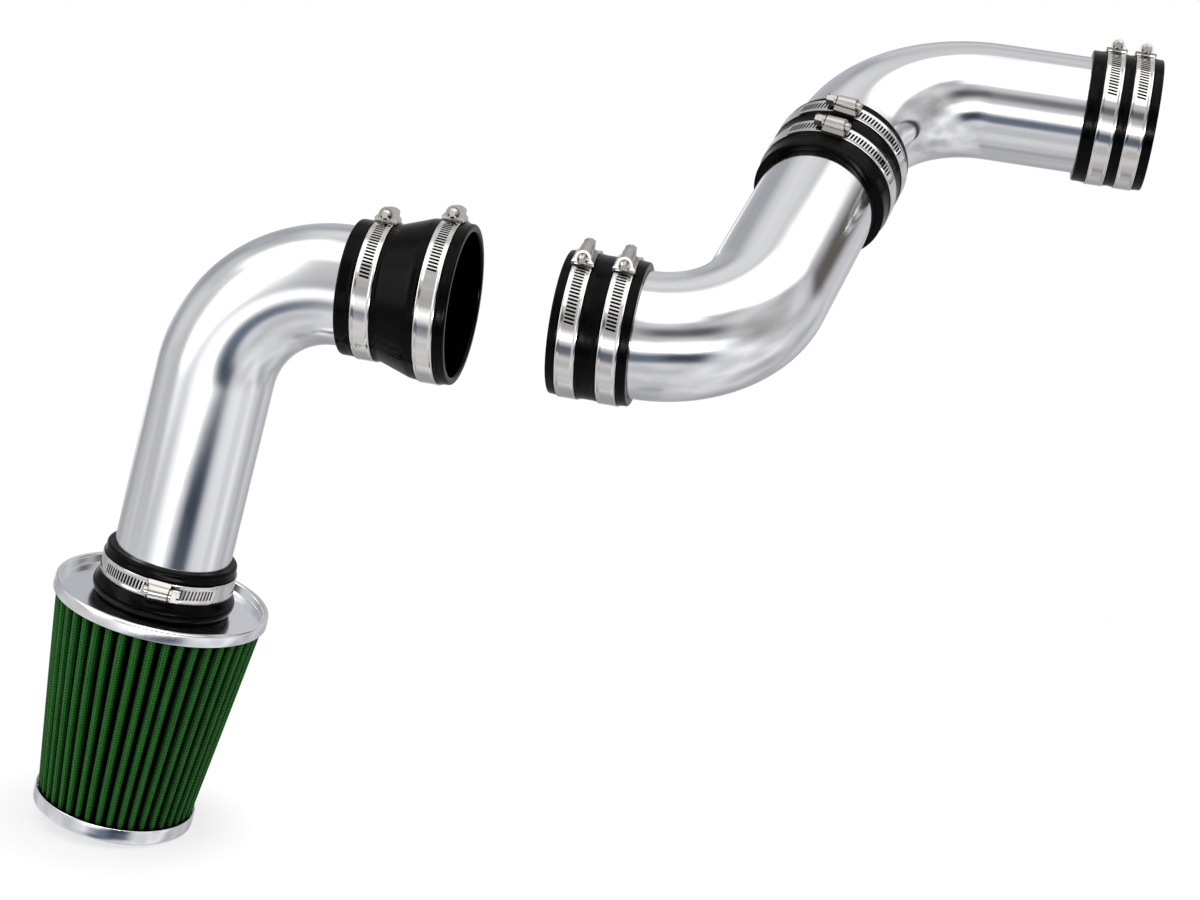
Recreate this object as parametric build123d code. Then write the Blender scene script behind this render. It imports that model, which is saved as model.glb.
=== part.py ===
from build123d import *
from math import asin, cos, degrees, pi, radians, sin
import os

# Cold air intake in two sections, as it is fitted to an engine. The filter section is a cone
# filter, an elbow and a reducing hose. The throttle section is two bent tubes and three hoses.
# The car's own air meter goes in the gap between the sections, on the axis that both share.
# Units are millimetres. The origin is the centre of the throttle hose's mouth, +X leaves the
# mouth towards the throttle, +Z is up and the filter hangs down.

# Tubes
elbow_tube_outer_radius = 38.1
throttle_tube_outer_radius = 40.0
tube_wall = 1.65
tube_insertion = 24.0

# Filter section, walked from the reducing hose's mouth towards the filter
elbow_bend_radius = 80.0
elbow_bend_angle = 82.5
elbow_run_before_hose = 4.0
elbow_run_to_filter = 152.5
elbow_end_below_rim = 4.0

# Throttle section, walked from the throttle hose's mouth towards the meter
upper_bend_radius = 92.5
lower_bend_radius = 69.5
throttle_bend_angle = 80.0
upper_run_to_throttle_hose = 61.0
upper_run_to_joint_hose = 8.5
lower_run_to_joint_hose = 101.5
lower_run_to_meter_hose = 0.5
meter_gap = 62.0
# how far the throttle section's plane is turned about X from upright
throttle_plane_turn = 58.0

# Hoses
hose_wall = 5.0
hose_edge_round = 1.2
# a hose's bore past the tube that stretches it, and the run where it narrows to that
free_bore_radius = 39.5
bore_taper = 1.5
throttle_hose_length = 48.0
joint_hose_length = 56.0
meter_hose_length = 50.0
reducer_length = 72.0
reducer_mouth_inner_radius = 45.7
reducer_small_run = 25.0
reducer_mouth_run = 25.0
reducer_edge_round = 1.5

# Clamp places, each from the nearer end of its hose to the middle of its band
throttle_hose_clamp_inset_mouth = 13.0
throttle_hose_clamp_inset_tube = 15.5
joint_hose_clamp_inset_upper = 13.2
joint_hose_clamp_inset_lower = 18.7
meter_hose_clamp_inset = 12.2
reducer_clamp_inset_small = 17.0
reducer_clamp_inset_mouth = 13.0
neck_clamp_height = 16.0

# Where each clamp's screw sits, as a turn about its hose's axis
throttle_hose_clamp_turn = 127.5
joint_hose_clamp_turn = 88.5
meter_hose_clamp_turn = 281.0
reducer_clamp_turn = 183.0
neck_clamp_turn = 78.0

# Worm drive clamp
band_width = 12.0
band_thickness = 0.8
band_seat_gap = 0.25
slot_pitch = 2.35
slot_width = 1.15
slot_length = 6.5
slot_slant = 8.0
# slots that show on both sides of the housing together, and those of them on the screw tip's side
slots_outside_housing = 27
slots_by_tip_on_throttle_hose = 21
slots_by_tip_on_joint_hose = 17
slots_by_tip_on_meter_hose = 17
slots_by_tip_on_reducer = 21
slots_by_tip_on_neck = 15
first_slot_by_tip = 9.6
first_slot_by_head = 9.2
tail_end_run = 3.6
tail_end_round = 4.0
housing_length = 15.0
housing_width_at_tip = 14.2
housing_width_at_head = 13.2
housing_wall_at_tip = 1.7
housing_wall_at_head = 1.1
housing_foot_height = 2.0
housing_end_slant = 2.2
strip_side_clearance = 0.2
strip_top_clearance = 0.1
worm_radius = 3.2
worm_lift = 0.3
worm_clearance = 0.15
worm_tip_length = 2.6
worm_tip_chamfer = 1.3
collar_radius = 3.9
collar_thickness = 1.2
head_across_flats = 6.9
head_length = 5.3
head_slot_width = 1.1
head_slot_depth = 1.6

# Cone filter, with heights along its axis from the top cap's rim
cap_radius = 70.2
cap_skirt_height = 8.3
cap_sheet = 1.0
cap_rim_width = 4.0
cap_face_drop = 6.5
neck_lip_height = 29.0
neck_wall = 4.5
neck_bead_radius = 46.5
neck_foot_height = 0.8
neck_bead_height = 14.0
neck_flange_gap = 0.5
neck_flange_thickness = 2.0
neck_edge_round = 1.6
filter_length = 158.0
bottom_cap_radius = 53.4
bottom_cap_height = 10.7
bottom_cap_recess = 2.5
bottom_cap_rim_width = 4.0
pleat_count = 44
pleat_tip_radius_top = 68.2
pleat_tip_radius_bottom = 50.8
pleat_depth = 12.0
pleat_layer = 3.4


def ahead(frame, distance):
    """The same frame, moved along its own X."""
    return Plane(frame.origin + frame.x_dir * distance, x_dir=frame.x_dir, z_dir=frame.z_dir)


def bent(frame, radius, angle):
    """The frame at the far end of a bend towards the frame's own Y."""
    turn = radians(angle)
    forward_shift = frame.x_dir * (radius * sin(turn))
    side_shift = frame.y_dir * (radius * (1 - cos(turn)))
    forward = frame.x_dir * cos(turn) + frame.y_dir * sin(turn)
    return Plane(frame.origin + forward_shift + side_shift, x_dir=forward, z_dir=frame.z_dir)


def rolled(frame, angle):
    """The frame turned about its own X."""
    turn = radians(angle)
    z_dir = frame.z_dir * cos(turn) - frame.y_dir * sin(turn)
    return Plane(frame.origin, x_dir=frame.x_dir, z_dir=z_dir)


def bent_tube(run_in, radius, angle, run_out, outer_radius):
    """A bent tube that starts at the origin along +X and bends towards +Y."""
    first = Line((0, 0), (run_in, 0))
    arc = JernArc(start=(run_in, 0), tangent=(1, 0), radius=radius, arc_size=angle)
    last = Line(arc @ 1, (arc @ 1) + (arc % 1) * run_out)
    section = Plane.YZ * (Circle(outer_radius) - Circle(outer_radius - tube_wall))
    return sweep(section, path=Wire([first, arc, last]))


def hose(length, bore):
    """A straight hose along +X from the origin, with rounded outer edges, from its bore's points."""
    outer_radius = throttle_tube_outer_radius + hose_wall
    profile = make_face(Polyline(*bore, (length, outer_radius), (0, outer_radius), bore[0]))
    profile = fillet(profile.vertices().group_by(Axis.Y)[-1], hose_edge_round)
    return revolve(profile, Axis.X)


def joint_hose_between_tubes(length):
    """A hose that a tube stretches from each end."""
    return hose(length, [(0, throttle_tube_outer_radius), (length, throttle_tube_outer_radius)])


def hose_with_free_mouth(length):
    """A hose with its free mouth at the origin and a tube in its far end."""
    taper_end = length - tube_insertion
    bore = [
        (0, free_bore_radius),
        (taper_end - bore_taper, free_bore_radius),
        (taper_end, throttle_tube_outer_radius),
        (length, throttle_tube_outer_radius),
    ]
    return hose(length, bore)


def slotted_band(inner_radius, outer_radius, slots_by_tip):
    """The band about Z, with its slotted tail lying over it on the side of +Y."""
    step = degrees(slot_pitch / outer_radius)
    cutter = Box(4 * band_thickness, slot_width, slot_length)

    def slots(first, step, count):
        turns = [first + i * step for i in range(count)]
        return [Rot(0, 0, t) * Pos(outer_radius, 0, 0) * Rot(-slot_slant, 0, 0) * cutter for t in turns]

    ring = Pos(0, 0, -band_width / 2) * extrude(Circle(outer_radius) - Circle(inner_radius), band_width)
    ring = ring - slots(-degrees(asin(first_slot_by_tip / outer_radius)), -step, slots_by_tip)

    # The strip's other end comes up through the housing and ends in a rounded tail.
    slots_by_head = slots_outside_housing - slots_by_tip
    first = degrees(asin(first_slot_by_head / outer_radius))
    tail_start = -degrees(asin(housing_length / 2 / outer_radius))
    tail_end = first + (slots_by_head - 1) * step + degrees(tail_end_run / outer_radius)
    section = Plane.XZ * Pos(outer_radius + band_thickness / 2, 0) * Rectangle(band_thickness, band_width)
    tail = revolve(section, Axis.Z, tail_start - tail_end)
    corners = tail.edges().filter_by(Axis.X).filter_by_position(Axis.Y, -0.01, 0.01)
    tail = Rot(0, 0, tail_end) * fillet(corners, tail_end_round)
    tail = tail - slots(first, step, slots_by_head)
    return ring + tail


def housing_profile(axis_height, foot, low, arch_radius, half_width):
    """The housing's section across the band, in XZ with X away from the hose."""
    sides = Polyline(
        (axis_height, -arch_radius),
        (foot, -half_width),
        (low, -half_width),
        (low, half_width),
        (foot, half_width),
        (axis_height, arch_radius),
    )
    top = (axis_height + arch_radius, 0)
    arch = ThreePointArc((axis_height, arch_radius), top, (axis_height, -arch_radius))
    return make_face([sides, arch])


def worm_clamp(seat_radius, slots_by_tip):
    """A worm drive clamp about Z, with its screw over +X and the screw's head towards +Y."""
    inner_radius = seat_radius + band_seat_gap
    outer_radius = inner_radius + band_thickness
    tail_radius = outer_radius + band_thickness
    band = slotted_band(inner_radius, outer_radius, slots_by_tip)

    # The housing widens towards the screw's tip, and its ends lean in, so that its feet stand out.
    axis_height = tail_radius + worm_lift + worm_radius
    bore_radius = worm_radius + worm_clearance
    foot = outer_radius + housing_foot_height
    low = outer_radius - 2 * band_thickness
    half_length = housing_length / 2
    tip_arch = bore_radius + housing_wall_at_tip
    head_arch = bore_radius + housing_wall_at_head
    at_tip = housing_profile(axis_height, foot, low, tip_arch, housing_width_at_tip / 2)
    at_head = housing_profile(axis_height, foot, low, head_arch, housing_width_at_head / 2)
    # Plane.XZ faces -Y, so the tip's section is half a length ahead of it.
    housing = loft([Plane.XZ.offset(half_length) * at_tip, Plane.XZ.offset(-half_length) * at_head])
    top = axis_height + tip_arch
    side_view = make_face(
        Polyline(
            (low, -half_length),
            (foot, -half_length),
            (top, -half_length + housing_end_slant),
            (top, half_length - housing_end_slant / 2),
            (foot, half_length),
            (low, half_length),
            (low, -half_length),
        )
    )
    housing = housing & extrude(side_view, housing_width_at_tip, both=True)
    bore = Pos(axis_height, 0, 0) * Rot(90, 0, 0) * Cylinder(bore_radius, 2 * housing_length)
    strip_room = Cylinder(tail_radius + strip_top_clearance, band_width + 2 * strip_side_clearance)
    housing = housing - bore - strip_room - Cylinder(outer_radius, 2 * housing_width_at_tip)

    worm_length = housing_length + worm_tip_length
    worm = Cylinder(worm_radius, worm_length, align=(Align.CENTER, Align.CENTER, Align.MIN))
    worm = chamfer(worm.edges().sort_by(Axis.Z)[0], worm_tip_chamfer)
    collar = Pos(0, 0, worm_length) * Cylinder(
        collar_radius, collar_thickness, align=(Align.CENTER, Align.CENTER, Align.MIN)
    )
    hexagon = RegularPolygon(head_across_flats / 2, 6, major_radius=False)
    head = Pos(0, 0, worm_length + collar_thickness) * extrude(hexagon, head_length)
    top = worm_length + collar_thickness + head_length
    driver_slot = Pos(0, 0, top) * Box(4 * collar_radius, head_slot_width, 2 * head_slot_depth)
    screw = worm + collar + head - driver_slot
    # The screw's own Z goes to +Y, with its collar against the housing's end.
    screw = Pos(axis_height, -half_length - worm_tip_length, 0) * Rot(-90, 0, 0) * screw
    return {"band": band, "housing": housing, "screw": screw}


def seat(frame, turn, flip):
    """Where a clamp goes on a hose: its Z on the frame's X, its screw at a turn about that axis."""
    r = rolled(frame, turn)
    along = -r.x_dir if flip else r.x_dir
    return Location(Plane(r.origin, x_dir=r.y_dir, z_dir=along))


parts = {}


def add_clamp(name, clamp, frame, turn, flip=False):
    place = seat(frame, turn, flip)
    for piece, shape in clamp.items():
        parts[f"{name}_{piece}"] = shape.moved(place)


# Throttle section, from the mouth of the throttle hose back to the meter
turn = radians(throttle_plane_turn)
climb = Vector(0, sin(turn), cos(turn))
mouth = Plane((0, 0, 0), x_dir=(-1, 0, 0), z_dir=Vector(1, 0, 0).cross(climb))
parts["throttle_hose"] = Location(mouth) * hose_with_free_mouth(throttle_hose_length)
upper_start = ahead(mouth, throttle_hose_length - tube_insertion)
upper_run = tube_insertion + upper_run_to_throttle_hose
parts["upper_tube"] = Location(upper_start) * bent_tube(
    upper_run,
    upper_bend_radius,
    throttle_bend_angle,
    upper_run_to_joint_hose + tube_insertion,
    throttle_tube_outer_radius,
)
after_upper_bend = bent(ahead(upper_start, upper_run), upper_bend_radius, throttle_bend_angle)
joint_upper_end = ahead(after_upper_bend, upper_run_to_joint_hose)
parts["joint_hose"] = Location(joint_upper_end) * joint_hose_between_tubes(joint_hose_length)
joint_lower_end = ahead(joint_upper_end, joint_hose_length)
# The lower tube bends the other way, back to the direction of X.
lower_start = rolled(ahead(joint_lower_end, -tube_insertion), 180)
lower_run = tube_insertion + lower_run_to_joint_hose
parts["lower_tube"] = Location(lower_start) * bent_tube(
    lower_run,
    lower_bend_radius,
    throttle_bend_angle,
    lower_run_to_meter_hose + tube_insertion,
    throttle_tube_outer_radius,
)
after_lower_bend = bent(ahead(lower_start, lower_run), lower_bend_radius, throttle_bend_angle)
meter_hose_start = ahead(after_lower_bend, lower_run_to_meter_hose)
meter_hose_end = ahead(meter_hose_start, meter_hose_length)
meter_mouth = Plane(meter_hose_end.origin, x_dir=-meter_hose_end.x_dir, z_dir=meter_hose_end.z_dir)
parts["meter_hose"] = Location(meter_mouth) * hose_with_free_mouth(meter_hose_length)

# Filter section, from the reducing hose's mouth back to the filter
reducer_origin = meter_hose_end.origin - Vector(meter_gap, 0, 0)
reducer_mouth = Plane(reducer_origin, x_dir=(-1, 0, 0), z_dir=(0, -1, 0))
small_inner = elbow_tube_outer_radius
mouth_inner = reducer_mouth_inner_radius
slope_start = reducer_mouth_run
slope_end = reducer_length - reducer_small_run
reducer_profile = make_face(
    Polyline(
        (0, mouth_inner),
        (slope_start, mouth_inner),
        (slope_end, small_inner),
        (reducer_length, small_inner),
        (reducer_length, small_inner + hose_wall),
        (slope_end, small_inner + hose_wall),
        (slope_start, mouth_inner + hose_wall),
        (0, mouth_inner + hose_wall),
        (0, mouth_inner),
    )
)
mouth_corners = reducer_profile.vertices().group_by(Axis.X)[0]
small_corner = reducer_profile.vertices().group_by(Axis.X)[-1].sort_by(Axis.Y)[-1]
reducer_profile = fillet([*mouth_corners, small_corner], reducer_edge_round)
reducer = revolve(reducer_profile, Axis.X)
parts["reducer_hose"] = Location(reducer_mouth) * reducer
elbow_start = ahead(reducer_mouth, reducer_length - tube_insertion)
elbow_run = tube_insertion + elbow_run_before_hose
parts["elbow_tube"] = Location(elbow_start) * bent_tube(
    elbow_run,
    elbow_bend_radius,
    elbow_bend_angle,
    elbow_run_to_filter + elbow_end_below_rim,
    elbow_tube_outer_radius,
)
after_elbow = bent(ahead(elbow_start, elbow_run), elbow_bend_radius, elbow_bend_angle)
filter_rim = ahead(after_elbow, elbow_run_to_filter)

# Cone filter, made about Z with its rim at z = 0 and its neck up
neck_outer_radius = elbow_tube_outer_radius + neck_wall
face_top = -cap_face_drop
face_under = face_top - cap_sheet
rim_radius = cap_rim_width / 2
cap_hole_radius = neck_outer_radius
cap_outline = [
    (cap_hole_radius, face_top),
    (cap_radius - cap_rim_width, face_top),
    (cap_radius - cap_rim_width, -rim_radius),
]
cap_outer = Polyline(*cap_outline)
cap_roll = ThreePointArc(
    (cap_radius - cap_rim_width, -rim_radius),
    (cap_radius - rim_radius, 0),
    (cap_radius, -rim_radius),
)
cap_inner = Polyline(
    (cap_radius, -rim_radius),
    (cap_radius, -cap_skirt_height),
    (cap_radius - cap_sheet, -cap_skirt_height),
    (cap_radius - cap_sheet, -rim_radius),
)
cap_under_roll = ThreePointArc(
    (cap_radius - cap_sheet, -rim_radius),
    (cap_radius - rim_radius, -cap_sheet),
    (cap_radius - cap_rim_width + cap_sheet, -rim_radius),
)
cap_under = Polyline(
    (cap_radius - cap_rim_width + cap_sheet, -rim_radius),
    (cap_radius - cap_rim_width + cap_sheet, face_under),
    (cap_hole_radius, face_under),
    (cap_hole_radius, face_top),
)
cap_profile = Plane.XZ * make_face([cap_outer, cap_roll, cap_inner, cap_under_roll, cap_under])
top_cap = revolve(cap_profile, Axis.Z)

# The neck's flange is under the cap's face, inside the top end of the pleats.
neck_flange_radius = pleat_tip_radius_top - pleat_depth - pleat_layer - neck_flange_gap
flange_top = face_under
flange_under = flange_top - neck_flange_thickness
bead_low = face_top + neck_foot_height
bead_high = bead_low + neck_bead_height
bead_middle = (bead_low + bead_high) / 2
neck_side = Polyline(
    (neck_outer_radius, face_top),
    (neck_outer_radius, flange_top),
    (neck_flange_radius, flange_top),
    (neck_flange_radius, flange_under),
    (elbow_tube_outer_radius, flange_under),
    (elbow_tube_outer_radius, neck_lip_height),
    (neck_outer_radius - neck_edge_round, neck_lip_height),
)
neck_round_rise = neck_edge_round * (1 - sin(pi / 4))
neck_round = ThreePointArc(
    (neck_outer_radius - neck_edge_round, neck_lip_height),
    (neck_outer_radius - neck_round_rise, neck_lip_height - neck_round_rise),
    (neck_outer_radius, neck_lip_height - neck_edge_round),
)
neck_groove = Line((neck_outer_radius, neck_lip_height - neck_edge_round), (neck_outer_radius, bead_high))
neck_bead = ThreePointArc(
    (neck_outer_radius, bead_high),
    (neck_bead_radius, bead_middle),
    (neck_outer_radius, bead_low),
)
neck_foot = Line((neck_outer_radius, bead_low), (neck_outer_radius, face_top))
neck_profile = Plane.XZ * make_face([neck_side, neck_round, neck_groove, neck_bead, neck_foot])
neck = revolve(neck_profile, Axis.Z)

bottom_rim_radius = bottom_cap_rim_width / 2
floor_z = -filter_length
plate_under = floor_z + bottom_cap_recess
plate_top = plate_under + cap_sheet
bottom_side = Polyline(
    (0, plate_under),
    (bottom_cap_radius - bottom_cap_rim_width, plate_under),
    (bottom_cap_radius - bottom_cap_rim_width, floor_z + bottom_rim_radius),
)
bottom_roll = ThreePointArc(
    (bottom_cap_radius - bottom_cap_rim_width, floor_z + bottom_rim_radius),
    (bottom_cap_radius - bottom_rim_radius, floor_z),
    (bottom_cap_radius, floor_z + bottom_rim_radius),
)
bottom_wall = Polyline(
    (bottom_cap_radius, floor_z + bottom_rim_radius),
    (bottom_cap_radius, floor_z + bottom_cap_height),
    (bottom_cap_radius - cap_sheet, floor_z + bottom_cap_height),
    (bottom_cap_radius - cap_sheet, plate_top),
    (0, plate_top),
    (0, plate_under),
)
bottom_profile = Plane.XZ * make_face([bottom_side, bottom_roll, bottom_wall])
bottom_cap = revolve(bottom_profile, Axis.Z)

# One pleat as (share of a pleat, share of the pleat's depth), from valley to valley
pleat = [
    (-0.50, 1.00),
    (-0.455, 0.93),
    (-0.335, 0.27),
    (-0.235, 0.085),
    (-0.12, 0.015),
    (0.0, 0.0),
    (0.12, 0.015),
    (0.235, 0.085),
    (0.335, 0.27),
    (0.455, 0.93),
]


def pleated_ring(tip_radius, inset, height):
    """The outline of all pleats at one height, drawn in by an inset."""
    share = tip_radius / pleat_tip_radius_top
    points = []
    for i in range(pleat_count):
        for across, depth in pleat:
            angle = 2 * pi * (i + across) / pleat_count
            r = tip_radius - share * (pleat_depth * depth + inset)
            points.append((r * cos(angle), r * sin(angle), height))
    return points


def pleated_solid(top_z, bottom_z):
    """The folded gauze as one closed solid, open down its middle."""
    faces = []
    rings = []
    for inset in (0, pleat_layer):
        upper = pleated_ring(pleat_tip_radius_top, inset, top_z)
        lower = pleated_ring(pleat_tip_radius_bottom, inset, bottom_z)
        rings.append((upper, lower))
    for upper, lower in rings:
        for i in range(len(upper)):
            j = (i + 1) % len(upper)
            faces.append(Face(Wire.make_polygon([upper[i], upper[j], lower[j], lower[i]], close=True)))
    for level in (0, 1):
        outside = Wire.make_polygon(rings[0][level], close=True)
        inside = Wire.make_polygon(rings[1][level], close=True)
        faces.append(Face(outside, [inside]))
    return Solid(Shell(faces))


media = pleated_solid(face_under, plate_top)

filter_axis = Location(Plane(filter_rim.origin, x_dir=-filter_rim.z_dir, z_dir=-filter_rim.x_dir))
parts["filter_top_cap"] = filter_axis * top_cap
parts["filter_neck"] = filter_axis * neck
parts["filter_bottom_cap"] = filter_axis * bottom_cap
parts["filter_pleats"] = filter_axis * media

# Clamps
throttle_seat = throttle_tube_outer_radius + hose_wall
throttle_clamp = worm_clamp(throttle_seat, slots_by_tip_on_throttle_hose)
joint_clamp = worm_clamp(throttle_seat, slots_by_tip_on_joint_hose)
meter_clamp = worm_clamp(throttle_seat, slots_by_tip_on_meter_hose)
mouth_clamp = worm_clamp(reducer_mouth_inner_radius + hose_wall, slots_by_tip_on_reducer)
small_clamp = worm_clamp(elbow_tube_outer_radius + hose_wall, slots_by_tip_on_reducer)
neck_clamp = worm_clamp(neck_outer_radius, slots_by_tip_on_neck)
throttle_places = {
    "a": ahead(mouth, throttle_hose_clamp_inset_mouth),
    "b": ahead(mouth, throttle_hose_length - throttle_hose_clamp_inset_tube),
}
joint_places = {
    "a": ahead(joint_upper_end, joint_hose_clamp_inset_upper),
    "b": ahead(joint_lower_end, -joint_hose_clamp_inset_lower),
}
meter_places = {
    "a": ahead(meter_hose_start, meter_hose_clamp_inset),
    "b": ahead(meter_hose_end, -meter_hose_clamp_inset),
}
for letter in "ab":
    add_clamp(f"throttle_clamp_{letter}", throttle_clamp, throttle_places[letter], throttle_hose_clamp_turn)
    add_clamp(f"joint_clamp_{letter}", joint_clamp, joint_places[letter], joint_hose_clamp_turn)
    add_clamp(f"meter_clamp_{letter}", meter_clamp, meter_places[letter], meter_hose_clamp_turn)
reducer_small_place = ahead(reducer_mouth, reducer_length - reducer_clamp_inset_small)
reducer_mouth_place = ahead(reducer_mouth, reducer_clamp_inset_mouth)
add_clamp("reducer_clamp_mouth", mouth_clamp, reducer_mouth_place, reducer_clamp_turn)
add_clamp("reducer_clamp_small", small_clamp, reducer_small_place, reducer_clamp_turn)
add_clamp("neck_clamp", neck_clamp, ahead(filter_rim, -neck_clamp_height), neck_clamp_turn, flip=True)

os.makedirs("parts", exist_ok=True)
for name, shape in parts.items():
    export_step(shape, f"parts/{name}.step")
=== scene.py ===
import math

import bpy
import numpy as np
from mathutils import Matrix, Vector


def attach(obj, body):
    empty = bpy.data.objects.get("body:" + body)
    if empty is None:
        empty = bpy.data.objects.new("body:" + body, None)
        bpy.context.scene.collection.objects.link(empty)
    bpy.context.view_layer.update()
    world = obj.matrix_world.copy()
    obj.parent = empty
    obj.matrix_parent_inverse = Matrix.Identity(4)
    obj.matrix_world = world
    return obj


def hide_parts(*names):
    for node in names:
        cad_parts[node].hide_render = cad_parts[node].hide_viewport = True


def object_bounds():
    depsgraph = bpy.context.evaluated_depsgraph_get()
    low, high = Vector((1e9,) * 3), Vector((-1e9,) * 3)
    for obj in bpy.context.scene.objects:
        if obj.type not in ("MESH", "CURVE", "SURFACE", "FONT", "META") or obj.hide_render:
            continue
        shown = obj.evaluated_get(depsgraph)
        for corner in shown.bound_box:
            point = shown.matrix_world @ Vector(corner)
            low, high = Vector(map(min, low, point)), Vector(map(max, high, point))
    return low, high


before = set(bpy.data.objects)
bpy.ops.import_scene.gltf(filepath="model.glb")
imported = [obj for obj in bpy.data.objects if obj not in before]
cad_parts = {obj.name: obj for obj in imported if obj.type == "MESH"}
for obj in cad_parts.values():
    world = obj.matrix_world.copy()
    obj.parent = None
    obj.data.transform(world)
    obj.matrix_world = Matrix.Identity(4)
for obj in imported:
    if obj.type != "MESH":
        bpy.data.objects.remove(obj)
cad_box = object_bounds()

# Sizes are in millimetres, as in the CAD, and MM turns them into the scene's metres.
MM = 0.001

# Tubes
ELBOW_TUBE_RADIUS = 38.1
THROTTLE_TUBE_RADIUS = 40.0
TUBE_WALL = 1.65
TUBE_INSERTION = 24.0
ELBOW_BEND_RADIUS = 80.0
ELBOW_BEND_ANGLE = 82.5
ELBOW_RUN_BEFORE_HOSE = 4.0
ELBOW_RUN_TO_FILTER = 152.5
ELBOW_END_BELOW_RIM = 4.0
UPPER_BEND_RADIUS = 92.5
LOWER_BEND_RADIUS = 69.5
THROTTLE_BEND_ANGLE = 80.0
UPPER_RUN_TO_THROTTLE_HOSE = 61.0
UPPER_RUN_TO_JOINT_HOSE = 8.5
LOWER_RUN_TO_JOINT_HOSE = 101.5
LOWER_RUN_TO_METER_HOSE = 0.5
METER_GAP = 62.0
THROTTLE_PLANE_TURN = 58.0
TUBE_RING_STEP = 3.0
TUBE_SIDES = 160

# Hoses
HOSE_WALL = 5.0
THROTTLE_HOSE_LENGTH = 48.0
JOINT_HOSE_LENGTH = 56.0
METER_HOSE_LENGTH = 50.0
REDUCER_LENGTH = 72.0
REDUCER_MOUTH_INNER_RADIUS = 45.7
REDUCER_SMALL_RUN = 25.0
REDUCER_MOUTH_RUN = 25.0
HOSE_EDGE_ROUND = 1.2
HOSE_BORE_ROUND = 0.7
REDUCER_EDGE_ROUND = 1.5
FREE_BORE_RADIUS = 39.5
BORE_TAPER = 1.5
# how deep a clamp presses its hose, and how far the rubber swells beside the band
CLAMP_BITE = 0.5
CLAMP_SWELL = 0.35
# how far inside the band's edge the rubber is fully pressed, and where beside it and how wide it swells
PRESS_RUN = 1.2
SWELL_PLACE = 1.4
SWELL_SPREAD = 1.3
SLOPE_ROUND = 14.0
HOSE_SIDES = 160
HOSE_STEP = 1.0
# arc steps of every rounded corner
ROUND_STEPS = 5

# Clamp places and turns, as in the CAD
THROTTLE_CLAMP_INSET_MOUTH = 13.0
THROTTLE_CLAMP_INSET_TUBE = 15.5
JOINT_CLAMP_INSET_UPPER = 13.2
JOINT_CLAMP_INSET_LOWER = 18.7
METER_CLAMP_INSET = 12.2
REDUCER_CLAMP_INSET_SMALL = 17.0
REDUCER_CLAMP_INSET_MOUTH = 13.0
NECK_CLAMP_HEIGHT = 16.0
THROTTLE_CLAMP_TURN = 127.5
JOINT_CLAMP_TURN = 88.5
METER_CLAMP_TURN = 281.0
REDUCER_CLAMP_TURN = 183.0
NECK_CLAMP_TURN = 78.0

# Clamp bands
BAND_WIDTH = 12.0
BAND_THICKNESS = 0.8
BAND_SEAT_GAP = 0.25
SLOT_PITCH = 2.35
# wider than in the CAD, because a slot looks narrower under its bright edges
SLOT_WIDTH = 1.35
SLOT_LENGTH = 6.5
SLOT_END = 0.45
SLOT_SLANT = 8.0
SLOTS_OUTSIDE_HOUSING = 27
SLOTS_BY_TIP = {"throttle": 21, "joint": 17, "meter": 17, "reducer": 21, "neck": 15}
FIRST_SLOT_BY_TIP = 9.6
FIRST_SLOT_BY_HEAD = 9.2
TAIL_START = 7.5
TAIL_END_RUN = 3.6
TAIL_END_ROUND = 4.0
TAIL_LIFT = 0.02
BAND_BORDER = 1.1
BAND_BORDER_RISE = 0.12
# the slope up to the border, the run to its outer edge, and the share of the rise that is left there
BORDER_SLOPE = 0.35
BORDER_EDGE = 0.25
BORDER_EDGE_SHARE = 0.4
SLOT_CORNER_SHARE = 0.3
# degrees between columns where a band is plain, and near the tail's rounded end
BAND_TURN_STEP = 2.0
TAIL_TURN_STEP = 0.5

# Cone filter, with heights along its axis from the top cap's rim
CAP_RADIUS = 70.2
CAP_SKIRT_HEIGHT = 8.3
CAP_SHEET = 1.0
CAP_RIM_WIDTH = 4.0
CAP_FACE_DROP = 6.5
CAP_EDGE_ROUND = 0.3
CAP_FOLD_ROUND = 0.9
# a rim's rounds stay this much under half its width, so that they don't meet
RIM_ROUND_SPARE = 0.05
RIM_HOLLOW_DROP = 0.4
NECK_LIP_HEIGHT = 29.0
NECK_WALL = 4.5
NECK_BEAD_RADIUS = 46.5
NECK_FOOT_HEIGHT = 0.8
NECK_BEAD_HEIGHT = 14.0
NECK_FLANGE_THICKNESS = 2.0
NECK_FLANGE_GAP = 0.5
NECK_LIP_ROUND = 1.8
NECK_BORE_ROUND = 0.6
NECK_FLANGE_ROUND = 0.4
NECK_BEAD_FULLNESS = 0.8
NECK_STEP = 0.7
FILTER_LENGTH = 158.0
BOTTOM_CAP_RADIUS = 53.4
BOTTOM_CAP_HEIGHT = 10.7
BOTTOM_CAP_RECESS = 2.5
BOTTOM_CAP_RIM_WIDTH = 4.0
BOTTOM_CAP_FOLD_ROUND = 0.5
# the radius at which the bottom cap's plate closes round its middle
POLE = 0.01
PLEAT_COUNT = 44
PLEAT_TIP_RADIUS_TOP = 68.2
PLEAT_TIP_RADIUS_BOTTOM = 50.8
PLEAT_DEPTH = 12.0
PLEAT_LAYER = 3.4
PLEAT_STEPS = 24
PLEAT_ROWS = 44
PLEAT_INNER_ROW_STEP = 8
CAP_SIDES = 192
CAP_STEP = 3.0
# how pleats differ: the lean is a share of a pleat, the reach is in millimetres, the sway a share and a wave
PLEAT_SEED = 7
PLEAT_LEAN = 0.05
PLEAT_REACH = 0.25
PLEAT_REACH_SHARE = 0.6
PLEAT_SWAY = 0.03
PLEAT_SWAY_WAVE = 5
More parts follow.
